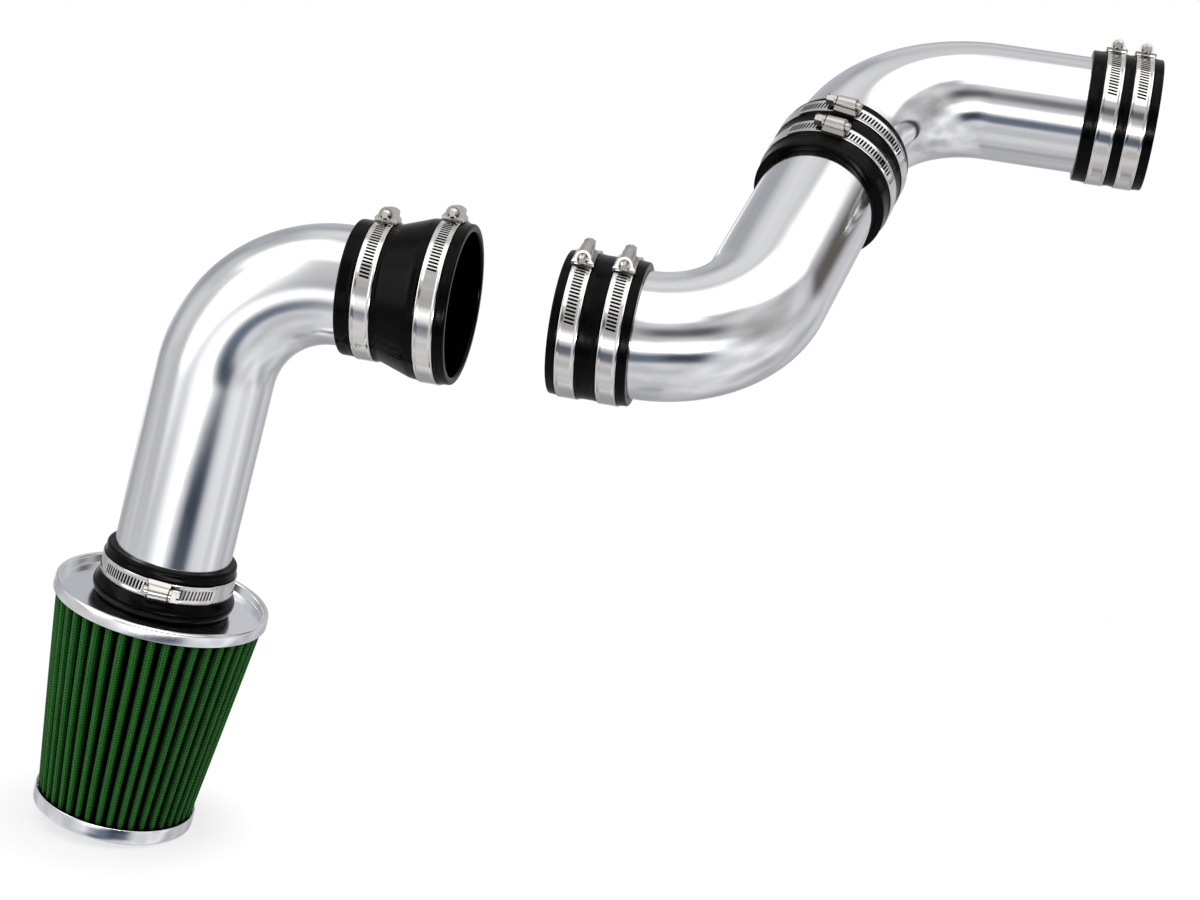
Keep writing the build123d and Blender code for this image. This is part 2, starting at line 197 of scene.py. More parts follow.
# the mesh of wires over the gauze: their pitch, and half a wire's width as a share of it
WIRE_PITCH = 1.9
WIRE_SHARE = 0.3

# Angles in degrees above which an edge is shaded sharp
SHARP_ANGLE = 38.0
BAND_SHARP_ANGLE = 30.0
PLEAT_SHARP_ANGLE = 75.0

# Openness, from 0 to 1, below which a corner gets the painted shade in full
CORNER_CLOSED = 0.35
SHADE_SAMPLES = 8

# The camera that the photograph was taken with, worked out from the parts' own sizes
CAMERA_PLACE = (-0.11737, -1.62561, 0.08994)
CAMERA_LOOK = (-0.13698, 0.96415, -0.22726)
CAMERA_UP = (-0.17070, 0.20302, 0.96418)
CAMERA_LENS = 68.46
CAMERA_SENSOR = 36.0


def ahead(place, distance):
    """The same frame, moved along its own X."""
    return place @ Matrix.Translation((distance, 0, 0))


def bent(place, radius, angle):
    """The frame at the far end of a bend towards the frame's own Y."""
    turn = math.radians(angle)
    shift = Matrix.Translation((radius * math.sin(turn), radius * (1 - math.cos(turn)), 0))
    return place @ shift @ Matrix.Rotation(turn, 4, "Z")


def rolled(place, angle):
    """The frame turned about its own X."""
    return place @ Matrix.Rotation(math.radians(angle), 4, "X")


def axes(origin, x_dir, z_dir):
    """A frame from an origin, its X and its Z."""
    x_dir = Vector(x_dir).normalized()
    z_dir = Vector(z_dir).normalized()
    y_dir = z_dir.cross(x_dir)
    place = Matrix((x_dir, y_dir, z_dir)).transposed().to_4x4()
    place.translation = Vector(origin)
    return place


# Surfaces and materials

def new_material(name, color, metallic, roughness):
    """A Principled material, its nodes, links and shader."""
    material = bpy.data.materials.new(name)
    material.use_nodes = True
    nodes = material.node_tree.nodes
    links = material.node_tree.links
    shader = nodes["Principled BSDF"]
    shader.inputs["Base Color"].default_value = (*color, 1)
    shader.inputs["Metallic"].default_value = metallic
    shader.inputs["Roughness"].default_value = roughness
    return material, nodes, links, shader


def feed(links, socket, value):
    """Sets a socket to a number or a colour, or links it to another node's output."""
    if isinstance(value, bpy.types.NodeSocket):
        links.new(value, socket)
    elif isinstance(value, tuple):
        socket.default_value = (*value, 1)
    else:
        socket.default_value = value


def math_node(nodes, links, operation, first, second=None):
    """The result of an operation on one or two numbers or outputs."""
    node = nodes.new("ShaderNodeMath")
    node.operation = operation
    feed(links, node.inputs[0], first)
    if second is not None:
        feed(links, node.inputs[1], second)
    return node.outputs[0]


def noise(nodes, links, scale, detail):
    """A noise texture over the piece's own coordinates."""
    texture = nodes.new("ShaderNodeTexNoise")
    texture.inputs["Scale"].default_value = scale
    texture.inputs["Detail"].default_value = detail
    links.new(nodes.new("ShaderNodeTexCoord").outputs["Object"], texture.inputs["Vector"])
    return texture.outputs["Fac"]


def between(nodes, links, source, low, high, from_low=0.35, from_high=0.65):
    """A number that follows a texture, from low to high."""
    spread = nodes.new("ShaderNodeMapRange")
    spread.inputs["From Min"].default_value = from_low
    spread.inputs["From Max"].default_value = from_high
    spread.inputs["To Min"].default_value = low
    spread.inputs["To Max"].default_value = high
    links.new(source, spread.inputs["Value"])
    return spread.outputs["Result"]


def blend_colors(nodes, links, factor, first, second):
    """A colour that goes from first to second as the factor goes from 0 to 1."""
    mix = nodes.new("ShaderNodeMix")
    mix.data_type = "RGBA"
    feed(links, mix.inputs["A"], first)
    feed(links, mix.inputs["B"], second)
    links.new(factor, mix.inputs["Factor"])
    return mix.outputs["Result"]


def add_bump(nodes, links, shader, height, strength, distance):
    """Bump from a height, of a distance in metres."""
    bump = nodes.new("ShaderNodeBump")
    bump.inputs["Strength"].default_value = strength
    bump.inputs["Distance"].default_value = distance
    links.new(height, bump.inputs["Height"])
    links.new(bump.outputs["Normal"], shader.inputs["Normal"])


def painted_corner_shade(nodes, links, shader, color, dark, reach, opened):
    """Paints shade into a colour: it darkens where others within reach, in metres, leave the surface less
    open than opened.
    """
    shade = nodes.new("ShaderNodeAmbientOcclusion")
    shade.samples = SHADE_SAMPLES
    shade.inputs["Distance"].default_value = reach
    share = between(nodes, links, shade.outputs["AO"], 0.0, 1.0, CORNER_CLOSED, opened)
    links.new(blend_colors(nodes, links, share, dark, color), shader.inputs["Base Color"])


def polished_aluminium():
    """Polished tube with faint smears and the slow waves of a bent and buffed surface."""
    material, nodes, links, shader = new_material("polished_aluminium", (0.91, 0.915, 0.925), 1.0, 0.13)
    smears = noise(nodes, links, scale=9.0, detail=3.0)
    links.new(between(nodes, links, smears, 0.1, 0.17), shader.inputs["Roughness"])
    waves = noise(nodes, links, scale=22.0, detail=2.0)
    add_bump(nodes, links, shader, waves, strength=0.25, distance=0.0004)
    return material


def bright_sheet():
    """Bright pressed sheet for the filter's caps, a little less even than the tubes."""
    material, nodes, links, shader = new_material("bright_sheet", (0.95, 0.955, 0.97), 1.0, 0.12)
    smears = noise(nodes, links, scale=14.0, detail=4.0)
    links.new(between(nodes, links, smears, 0.09, 0.2), shader.inputs["Roughness"])
    waves = noise(nodes, links, scale=40.0, detail=3.0)
    add_bump(nodes, links, shader, waves, strength=0.3, distance=0.0003)
    return material


def clamp_steel(name, color, smooth, rough):
    """Stainless steel with faint smears, and with painted shade in its slots and corners."""
    material, nodes, links, shader = new_material(name, color, 1.0, (smooth + rough) / 2)
    smears = noise(nodes, links, scale=60.0, detail=4.0)
    links.new(between(nodes, links, smears, smooth, rough), shader.inputs["Roughness"])
    grain = noise(nodes, links, scale=700.0, detail=2.0)
    add_bump(nodes, links, shader, grain, strength=0.1, distance=0.00003)
    # painted shade: the steel's colour goes dark where its slots and corners are closed in
    painted_corner_shade(nodes, links, shader, color, (0.015, 0.014, 0.013), reach=0.003, opened=0.9)
    return material


def black_rubber():
    """Moulded rubber with a soft sheen, a fine grain and a few paler specks of dust."""
    material, nodes, links, shader = new_material("black_rubber", (0.002, 0.002, 0.002), 0.0, 0.27)
    shader.inputs["Specular IOR Level"].default_value = 0.08
    clouds = noise(nodes, links, scale=45.0, detail=5.0)
    links.new(between(nodes, links, clouds, 0.12, 0.2), shader.inputs["Roughness"])
    dust = noise(nodes, links, scale=900.0, detail=1.0)
    specks = between(nodes, links, dust, 0.0, 1.0, 0.72, 0.8)
    color = blend_colors(nodes, links, specks, (0.001, 0.001, 0.0011), (0.006, 0.006, 0.0065))
    links.new(color, shader.inputs["Base Color"])
    grain = noise(nodes, links, scale=1500.0, detail=3.0)
    add_bump(nodes, links, shader, grain, strength=0.02, distance=0.00003)
    return material


def green_gauze():
    """Oiled green gauze under a fine wire mesh, both laid out over the pleats in millimetres."""
    material, nodes, links, shader = new_material("green_gauze", (0.02, 0.15, 0.03), 0.0, 0.55)
    shader.inputs["Specular IOR Level"].default_value = 0.1
    layout = nodes.new("ShaderNodeUVMap")
    layout.uv_map = "gauze"
    split = nodes.new("ShaderNodeSeparateXYZ")
    links.new(layout.outputs["UV"], split.inputs["Vector"])

    def wires(axis):
        """1 on the middle of each wire that crosses this axis, 0 between wires."""
        pitches = math_node(nodes, links, "MULTIPLY", split.outputs[axis], 1 / WIRE_PITCH)
        share = math_node(nodes, links, "FRACT", pitches)
        off = math_node(nodes, links, "ABSOLUTE", math_node(nodes, links, "SUBTRACT", share, 0.5))
        return between(nodes, links, off, 1.0, 0.0, 0.0, WIRE_SHARE)

    net = math_node(nodes, links, "MAXIMUM", wires("X"), wires("Y"))
    clouds = between(nodes, links, noise(nodes, links, scale=55.0, detail=4.0), 0.0, 1.0)
    oiled = blend_colors(nodes, links, clouds, (0.002, 0.036, 0.003), (0.006, 0.075, 0.008))
    netted = blend_colors(nodes, links, net, oiled, (0.04, 0.24, 0.035))
    # painted shade: the gauze's colour goes dark where the pleats close in on it, deep in their grooves
    painted_corner_shade(nodes, links, shader, netted, (0.0003, 0.004, 0.0005), reach=0.011, opened=0.98)
    add_bump(nodes, links, shader, net, strength=0.9, distance=0.0005)
    return material


MATERIALS = {
    "polished_tube": polished_aluminium(),
    "bright_cap": bright_sheet(),
    "stainless_clamp": clamp_steel("band_steel", (0.82, 0.8, 0.77), 0.05, 0.11),
    "black_rubber": black_rubber(),
    "green_gauze": green_gauze(),
}
HOUSING_STEEL = clamp_steel("housing_steel", (0.66, 0.63, 0.59), 0.16, 0.28)


def add_piece(name, points, faces, place, slot, replaced, sharp=SHARP_ANGLE, uv=None):
    """A mesh in the row frame, from points in millimetres in a place's own axes. It rides on the one body."""
    points = np.asarray(points, dtype=float)
    turn = np.array(place.to_3x3())
    points = (points @ turn.T + np.array(place.translation)) * MM
    mesh = bpy.data.meshes.new(name)
    mesh.from_pydata(points.tolist(), [], faces)
    mesh.update()
    if uv is not None:
        layer = mesh.uv_layers.new(name="gauze")
        corners = np.zeros(len(mesh.loops), dtype=int)
        mesh.loops.foreach_get("vertex_index", corners)
        layer.uv.foreach_set("vector", np.asarray(uv, dtype=np.float32)[corners].ravel())
    mesh.shade_smooth()
    mesh.set_sharp_from_angle(angle=math.radians(sharp))
    mesh.materials.append(MATERIALS[slot])
    piece = bpy.data.objects.new(name, mesh)
    bpy.context.scene.collection.objects.link(piece)
    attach(piece, "root")
    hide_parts(*replaced)


def ring_faces(rows, columns):
    """Quads of a grid of rows by columns that is closed both ways."""
    faces = []
    for i in range(rows):
        k = (i + 1) % rows
        for j in range(columns):
            m = (j + 1) % columns
            faces.append((i * columns + j, i * columns + m, k * columns + m, k * columns + j))
    return faces


def turned_round(faces):
    """The same faces, seen from their other side."""
    return [f[::-1] for f in faces]


def revolved(outline, sides):
    """A closed outline of (radius, height) turned about Z."""
    turns = np.linspace(0, 2 * math.pi, sides, endpoint=False)
    radius = np.array([p[0] for p in outline])[:, None]
    height = np.array([p[1] for p in outline])[:, None]
    x = radius * np.cos(turns)
    y = radius * np.sin(turns)
    z = height + 0 * turns
    return np.stack([x, y, z], axis=2).reshape(-1, 3), ring_faces(len(outline), sides)


def rounded(corners):
    """A closed outline with its corners rounded. Each corner is (radius, height, round)."""
    outline = []
    count = len(corners)
    for i, (x, y, size) in enumerate(corners):
        here = np.array((x, y))
        before = np.array(corners[i - 1][:2]) - here
        after = np.array(corners[(i + 1) % count][:2]) - here
        if size == 0:
            outline.append(tuple(here))
            continue
        before /= np.linalg.norm(before)
        after /= np.linalg.norm(after)
        half = math.acos(np.clip(before @ after, -1, 1)) / 2
        reach = size / math.tan(half)
        centre = here + (before + after) / np.linalg.norm(before + after) * size / math.sin(half)
        start = here + before * reach - centre
        end = here + after * reach - centre
        opening = math.acos(np.clip(start @ end / size**2, -1, 1))
        for k in range(ROUND_STEPS + 1):
            share = k / ROUND_STEPS
            first = math.sin((1 - share) * opening) / math.sin(opening)
            second = math.sin(share * opening) / math.sin(opening)
            outline.append(tuple(centre + start * first + end * second))
    return outline


def spaced(outline, step):
    """The outline with long stretches divided, so that smooth shading stays even."""
    points = []
    for i, here in enumerate(outline):
        there = outline[(i + 1) % len(outline)]
        parts = max(1, round(math.dist(here, there) / step))
        for k in range(parts):
            points.append(tuple(a + (b - a) * k / parts for a, b in zip(here, there)))
    return points


def about_x(place):
    """The frame whose Z runs along the place's X."""
    return place @ Matrix(((0, 0, 1, 0), (0, 1, 0, 0), (-1, 0, 0, 0), (0, 0, 0, 1)))


# Routes of the two sections

plane_turn = math.radians(THROTTLE_PLANE_TURN)
climb = Vector((0, math.sin(plane_turn), math.cos(plane_turn)))
mouth = axes((0, 0, 0), (-1, 0, 0), Vector((1, 0, 0)).cross(climb))
upper_start = ahead(mouth, THROTTLE_HOSE_LENGTH - TUBE_INSERTION)
upper_run = TUBE_INSERTION + UPPER_RUN_TO_THROTTLE_HOSE
after_upper_bend = bent(ahead(upper_start, upper_run), UPPER_BEND_RADIUS, THROTTLE_BEND_ANGLE)
joint_upper_end = ahead(after_upper_bend, UPPER_RUN_TO_JOINT_HOSE)
joint_lower_end = ahead(joint_upper_end, JOINT_HOSE_LENGTH)
lower_start = rolled(ahead(joint_lower_end, -TUBE_INSERTION), 180)
lower_run = TUBE_INSERTION + LOWER_RUN_TO_JOINT_HOSE
after_lower_bend = bent(ahead(lower_start, lower_run), LOWER_BEND_RADIUS, THROTTLE_BEND_ANGLE)
meter_hose_start = ahead(after_lower_bend, LOWER_RUN_TO_METER_HOSE)
meter_hose_end = ahead(meter_hose_start, METER_HOSE_LENGTH)
reducer_mouth = axes(meter_hose_end.translation - Vector((METER_GAP, 0, 0)), (-1, 0, 0), (0, -1, 0))
elbow_start = ahead(reducer_mouth, REDUCER_LENGTH - TUBE_INSERTION)
elbow_run = TUBE_INSERTION + ELBOW_RUN_BEFORE_HOSE
after_elbow = bent(ahead(elbow_start, elbow_run), ELBOW_BEND_RADIUS, ELBOW_BEND_ANGLE)
filter_rim = ahead(after_elbow, ELBOW_RUN_TO_FILTER)
filter_axis = axes(filter_rim.translation, -filter_rim.col[2].to_3d(), -filter_rim.col[0].to_3d())


# Tubes

def add_tube(name, start, run_in, radius, angle, run_out, outer_radius):
    """A bent tube with a wall, open at both ends."""
    places = []
    arc = radius * math.radians(angle)
    total = run_in + arc + run_out
    for s in np.linspace(0, total, max(2, round(total / TUBE_RING_STEP))):
        if s <= run_in:
            places.append(ahead(start, s))
        elif s <= run_in + arc:
            places.append(bent(ahead(start, run_in), radius, math.degrees((s - run_in) / radius)))
        else:
            places.append(ahead(bent(ahead(start, run_in), radius, angle), s - run_in - arc))
    turns = np.linspace(0, 2 * math.pi, TUBE_SIDES, endpoint=False)
    inner_radius = outer_radius - TUBE_WALL
    points = []
    for radius_here, row in [(outer_radius, places), (inner_radius, places[::-1])]:
        for place in row:
            centre = np.array(place.translation)
            y_dir = np.array(place.col[1].to_3d())
            z_dir = np.array(place.col[2].to_3d())
            ring = np.outer(np.cos(turns), y_dir) + np.outer(np.sin(turns), z_dir)
            points.append(centre + radius_here * ring)
    faces = ring_faces(2 * len(places), TUBE_SIDES)
    points = np.concatenate(points)
    add_piece(name + "_polished", points, faces, Matrix.Identity(4), "polished_tube", [name])


add_tube(
    "upper_tube",
    upper_start,
    upper_run,
    UPPER_BEND_RADIUS,
    THROTTLE_BEND_ANGLE,
    UPPER_RUN_TO_JOINT_HOSE + TUBE_INSERTION,
    THROTTLE_TUBE_RADIUS,
)
add_tube(
    "lower_tube",
    lower_start,
    lower_run,
    LOWER_BEND_RADIUS,
    THROTTLE_BEND_ANGLE,
    LOWER_RUN_TO_METER_HOSE + TUBE_INSERTION,
    THROTTLE_TUBE_RADIUS,
)
add_tube(
    "elbow_tube",
    elbow_start,
    elbow_run,
    ELBOW_BEND_RADIUS,
    ELBOW_BEND_ANGLE,
    ELBOW_RUN_TO_FILTER + ELBOW_END_BELOW_RIM,
    ELBOW_TUBE_RADIUS,
)


# Hoses

def pressed(height, clamp_heights):
    """How far the rubber's surface moves at a height, under and beside the clamps."""
    move = 0.0
    for middle in clamp_heights:
        off = abs(height - middle) - BAND_WIDTH / 2
        if off < 0:
            move -= CLAMP_BITE * min(1, -off / PRESS_RUN)
        else:
            move += CLAMP_SWELL * math.exp(-((off - SWELL_PLACE) / SWELL_SPREAD) ** 2)
    return move


def add_hose(name, place, corners, clamp_heights, inner_radius):
    """A moulded rubber hose from its closed outline, pressed in by its clamps."""
    shaped = []
    for r, h in spaced(rounded(corners), HOSE_STEP):
        outside = r > inner_radius(h) + HOSE_WALL / 2
        shaped.append((r + pressed(h, clamp_heights) if outside else r, h))
    points, faces = revolved(shaped, HOSE_SIDES)
    add_piece(name + "_moulded", points, faces, about_x(place), "black_rubber", [name])


def straight_hose(length, free_mouth):
    """The outline of a straight hose. A free mouth at height 0 is as narrow as it was moulded."""
    outer_radius = THROTTLE_TUBE_RADIUS + HOSE_WALL
    bore = [(THROTTLE_TUBE_RADIUS, 0, HOSE_BORE_ROUND)]
    if free_mouth:
        taper_end = length - TUBE_INSERTION
        bore = [
            (THROTTLE_TUBE_RADIUS, taper_end, 0),
            (FREE_BORE_RADIUS, taper_end - BORE_TAPER, 0),
            (FREE_BORE_RADIUS, 0, HOSE_BORE_ROUND),
        ]
    return bore + [
        (outer_radius, 0, HOSE_EDGE_ROUND),
        (outer_radius, length, HOSE_EDGE_ROUND),
        (THROTTLE_TUBE_RADIUS, length, HOSE_BORE_ROUND),
    ]


def straight_inner(height):
    """A straight hose's inner radius, which is the same at every height."""
    return THROTTLE_TUBE_RADIUS


slope_end = REDUCER_LENGTH - REDUCER_SMALL_RUN


def reducer_inner(height):
    """The reducing hose's inner radius at a distance from its mouth."""
    share = (height - REDUCER_MOUTH_RUN) / (slope_end - REDUCER_MOUTH_RUN)
    share = min(1, max(0, share))
    return REDUCER_MOUTH_INNER_RADIUS + (ELBOW_TUBE_RADIUS - REDUCER_MOUTH_INNER_RADIUS) * share


reducer_corners = [
    (REDUCER_MOUTH_INNER_RADIUS, 0, REDUCER_EDGE_ROUND),
    (REDUCER_MOUTH_INNER_RADIUS + HOSE_WALL, 0, REDUCER_EDGE_ROUND),
    (REDUCER_MOUTH_INNER_RADIUS + HOSE_WALL, REDUCER_MOUTH_RUN, SLOPE_ROUND),
    (ELBOW_TUBE_RADIUS + HOSE_WALL, slope_end, SLOPE_ROUND),
    (ELBOW_TUBE_RADIUS + HOSE_WALL, REDUCER_LENGTH, REDUCER_EDGE_ROUND),
    (ELBOW_TUBE_RADIUS, REDUCER_LENGTH, HOSE_BORE_ROUND),
    (ELBOW_TUBE_RADIUS, slope_end, SLOPE_ROUND),
    (REDUCER_MOUTH_INNER_RADIUS, REDUCER_MOUTH_RUN, SLOPE_ROUND),
]
throttle_clamps = (THROTTLE_CLAMP_INSET_MOUTH, THROTTLE_HOSE_LENGTH - THROTTLE_CLAMP_INSET_TUBE)
joint_clamps = (JOINT_CLAMP_INSET_UPPER, JOINT_HOSE_LENGTH - JOINT_CLAMP_INSET_LOWER)
meter_clamps = (METER_CLAMP_INSET, METER_HOSE_LENGTH - METER_CLAMP_INSET)
reducer_clamps = (REDUCER_CLAMP_INSET_MOUTH, REDUCER_LENGTH - REDUCER_CLAMP_INSET_SMALL)
meter_mouth = meter_hose_end @ Matrix.Rotation(math.pi, 4, "Z")
add_hose("throttle_hose", mouth, straight_hose(THROTTLE_HOSE_LENGTH, True), throttle_clamps, straight_inner)
add_hose("joint_hose", joint_upper_end, straight_hose(JOINT_HOSE_LENGTH, False), joint_clamps, straight_inner)
add_hose("meter_hose", meter_mouth, straight_hose(METER_HOSE_LENGTH, True), meter_clamps, straight_inner)
add_hose("reducer_hose", reducer_mouth, reducer_corners, reducer_clamps, reducer_inner)


# Filter

face_top = -CAP_FACE_DROP
face_under = face_top - CAP_SHEET
neck_radius = ELBOW_TUBE_RADIUS + NECK_WALL
flange_radius = PLEAT_TIP_RADIUS_TOP - PLEAT_DEPTH - PLEAT_LAYER - NECK_FLANGE_GAP
bead_low = face_top + NECK_FOOT_HEIGHT
bead_high = bead_low + NECK_BEAD_HEIGHT
bead_reach = NECK_BEAD_RADIUS - neck_radius


def bead(height):
    """How far the neck's round bead stands out at a height."""
    share = (height - bead_low) / (bead_high - bead_low)
    if share <= 0 or share >= 1:
        return 0.0
    return bead_reach * math.sin(math.pi * share) ** NECK_BEAD_FULLNESS


neck_corners = [
    (ELBOW_TUBE_RADIUS, NECK_LIP_HEIGHT, NECK_BORE_ROUND),
    (ELBOW_TUBE_RADIUS, face_under - NECK_FLANGE_THICKNESS, 0),
    (flange_radius, face_under - NECK_FLANGE_THICKNESS, NECK_FLANGE_ROUND),
    (flange_radius, face_under, NECK_FLANGE_ROUND),
    (neck_radius, face_under, 0),
    (neck_radius, NECK_LIP_HEIGHT, NECK_LIP_ROUND),
]
# the neck's outside starts this far above the flange and takes in this much of its rounded lip
OUTSIDE_FROM = 0.1
OUTSIDE_SPARE = 0.6
neck_outline = []
for r, h in spaced(rounded(neck_corners), NECK_STEP):
    if r > neck_radius - OUTSIDE_SPARE and h > face_under + OUTSIDE_FROM:
        r += bead(h) + pressed(h, (NECK_CLAMP_HEIGHT,))
    neck_outline.append((r, h))
points, faces = revolved(neck_outline, HOSE_SIDES)
add_piece("filter_neck_moulded", points, faces, filter_axis, "black_rubber", ["filter_neck"])

rim_inner = CAP_RADIUS - CAP_RIM_WIDTH
rim_round = CAP_RIM_WIDTH / 2 - RIM_ROUND_SPARE
rim_hollow = -CAP_SHEET - RIM_HOLLOW_DROP
cap_corners = [
    (neck_radius, face_under, 0),
    (neck_radius, face_top, CAP_EDGE_ROUND),
    (rim_inner, face_top, CAP_FOLD_ROUND),
    (rim_inner, 0, rim_round),
    (CAP_RADIUS, 0, rim_round),
    (CAP_RADIUS, -CAP_SKIRT_HEIGHT, CAP_EDGE_ROUND),
    (CAP_RADIUS - CAP_SHEET, -CAP_SKIRT_HEIGHT, CAP_EDGE_ROUND),
    (CAP_RADIUS - CAP_SHEET, rim_hollow, CAP_FOLD_ROUND),
    (rim_inner + CAP_SHEET, rim_hollow, CAP_FOLD_ROUND),
    (rim_inner + CAP_SHEET, face_under, CAP_EDGE_ROUND),
]
# The caps' outlines run the other way round than the hoses' do, so their faces are turned to face out.
points, faces = revolved(spaced(rounded(cap_corners), CAP_STEP), CAP_SIDES)
faces = turned_round(faces)
add_piece("filter_top_cap_bright", points, faces, filter_axis, "bright_cap", ["filter_top_cap"])

floor_z = -FILTER_LENGTH
plate_under = floor_z + BOTTOM_CAP_RECESS
plate_top = plate_under + CAP_SHEET
bottom_rim_inner = BOTTOM_CAP_RADIUS - BOTTOM_CAP_RIM_WIDTH
bottom_round = BOTTOM_CAP_RIM_WIDTH / 2 - RIM_ROUND_SPARE
bottom_corners = [
    (POLE, plate_top, 0),
    (BOTTOM_CAP_RADIUS - CAP_SHEET, plate_top, CAP_EDGE_ROUND),
    (BOTTOM_CAP_RADIUS - CAP_SHEET, floor_z + BOTTOM_CAP_HEIGHT, CAP_EDGE_ROUND),
    (BOTTOM_CAP_RADIUS, floor_z + BOTTOM_CAP_HEIGHT, CAP_EDGE_ROUND),
    (BOTTOM_CAP_RADIUS, floor_z, bottom_round),
    (bottom_rim_inner, floor_z, bottom_round),
    (bottom_rim_inner, plate_under, BOTTOM_CAP_FOLD_ROUND),
    (POLE, plate_under, 0),
]
points, faces = revolved(spaced(rounded(bottom_corners), CAP_STEP), CAP_SIDES)
faces = turned_round(faces)
add_piece("filter_bottom_cap_bright", points, faces, filter_axis, "bright_cap", ["filter_bottom_cap"])

# Share of a pleat against share of its depth, from one groove to the next
pleat_shares = [-0.5, -0.455, -0.335, -0.235, -0.12, 0.0, 0.12, 0.235, 0.335, 0.455, 0.5]
pleat_depths = [1.0, 0.93, 0.27, 0.085, 0.015, 0.0, 0.015, 0.085, 0.27, 0.93, 1.0]


def add_pleats():
    """The folded gauze, each pleat a little different from the next."""
    chance = np.random.default_rng(PLEAT_SEED)
    lean = chance.normal(0, PLEAT_LEAN, PLEAT_COUNT)
    reach = chance.normal(0, PLEAT_REACH, PLEAT_COUNT)
    sway = chance.uniform(0, 2 * math.pi, PLEAT_COUNT)
    steps = np.arange(PLEAT_COUNT * PLEAT_STEPS)
    number = steps // PLEAT_STEPS
    across = (steps % PLEAT_STEPS) / PLEAT_STEPS - 0.5
    depth = np.interp(across, pleat_shares, pleat_depths)
    crown = 1 - depth
    rows = []
    layout = []
    heights = np.linspace(0, 1, PLEAT_ROWS)
    for inset, order in [(0.0, heights), (PLEAT_LAYER, heights[::-1][::PLEAT_INNER_ROW_STEP])]:
        for share in order:
            tip = PLEAT_TIP_RADIUS_TOP + (PLEAT_TIP_RADIUS_BOTTOM - PLEAT_TIP_RADIUS_TOP) * share
            scale = tip / PLEAT_TIP_RADIUS_TOP
            held = math.sin(math.pi * share) ** 0.5
            drift = (lean[number] + PLEAT_SWAY * np.sin(sway[number] + PLEAT_SWAY_WAVE * share)) * held
            angle = 2 * math.pi * (number + across + drift * crown) / PLEAT_COUNT
            out = reach[number] * crown * held * PLEAT_REACH_SHARE
            r = tip + out - scale * (PLEAT_DEPTH * depth + inset)
            z = face_under + (plate_top - face_under) * share
            x = r * np.cos(angle)
            y = r * np.sin(angle)
            rows.append(np.stack([x, y, z + 0 * x], axis=1))
            step = np.hypot(np.diff(x, append=x[0]), np.diff(y, append=y[0]))
            run = np.concatenate([[0], np.cumsum(step)[:-1]])
            layout.append(np.stack([run, z + 0 * x], axis=1))
    # The gauze's threads follow each pleat down, so the pattern keeps the middle row's runs.
    middle = layout[PLEAT_ROWS // 2][:, 0]
    layout = [np.stack([middle, row[:, 1]], axis=1) for row in layout]
    faces = turned_round(ring_faces(len(rows), PLEAT_COUNT * PLEAT_STEPS))
    add_piece(
        "filter_pleats_gauze",
        np.concatenate(rows),
        faces,
        filter_axis,
        "green_gauze",
        ["filter_pleats"],
        sharp=PLEAT_SHARP_ANGLE,
        uv=np.concatenate(layout),
    )


add_pleats()


# Clamps

def clamp_place(place, angle, flip=False):
    """A clamp's axes on its hose: Z along the hose, X under the screw and Y towards its head."""
    r = rolled(place, angle)
    along = r.col[0].to_3d()
    if flip:
        along = -along
    return axes(r.translation, r.col[1].to_3d(), along)


def thick_sheet(outer, inner, faces):
    """A closed solid from two layers of the same points and the faces of one."""
    count = len(outer)
    solid = list(faces) + [tuple(count + i for i in reversed(f)) for f in faces]
    edges = {}
    for f in faces:
        for a, b in zip(f, f[1:] + f[:1]):
            edges[(a, b)] = True
    for a, b in edges:
        if (b, a) not in edges:
            solid.append((b, a, count + a, count + b))
    return np.concatenate([outer, inner]), solid


def band_rows():
    """Heights across a band with their rises: its border, its flat and the slots' round ends."""
    half = BAND_WIDTH / 2
    slot = SLOT_LENGTH / 2
    upper = [
        (slot - SLOT_END, 0.0),
        (slot, 0.0),
        (half - BAND_BORDER - BORDER_SLOPE, 0.0),
        (half - BAND_BORDER, BAND_BORDER_RISE),
        (half - BORDER_EDGE, BAND_BORDER_RISE),
        (half, BAND_BORDER_RISE * BORDER_EDGE_SHARE),
    ]
    return [(-height, rise) for height, rise in reversed(upper)] + upper


# What lies between a strip's column and the next: a slot's first round end, its middle, its other end
SLOT_FIRST, SLOT_MIDDLE, SLOT_LAST, NO_SLOT = 0, 1, 2, -1


def strip_columns(radius, start, slot_middles, end, closed):
    """The angles of a strip's columns, and what lies between each and the next."""
    step = slot_middles[1] - slot_middles[0]
    slot_starts = [middle - step / 2 for middle in slot_middles]
    width = SLOT_WIDTH / radius
    corner = width * SLOT_CORNER_SHARE
    angles = []
    marks = []
    for slot_start in slot_starts:
        first = slot_start + (step - width) / 2
        angles += [first, first + corner, first + width - corner, first + width]
        marks += [SLOT_FIRST, SLOT_MIDDLE, SLOT_LAST, NO_SLOT]
    plain_from = slot_starts[-1] + step
    plain_step = math.radians(BAND_TURN_STEP if closed else TAIL_TURN_STEP)
    plain_parts = max(2, round((end - plain_from) / plain_step))
    lead_parts = max(2, round((slot_starts[0] - start) / math.radians(BAND_TURN_STEP)))
    lead = [start + (slot_starts[0] - start) * k / lead_parts for k in range(lead_parts + 1)]
    last = plain_parts if closed else plain_parts + 1
    rest = [plain_from + (end - plain_from) * k / plain_parts for k in range(last)]
    return lead + angles + rest, [NO_SLOT] * len(lead) + marks + [NO_SLOT] * len(rest)


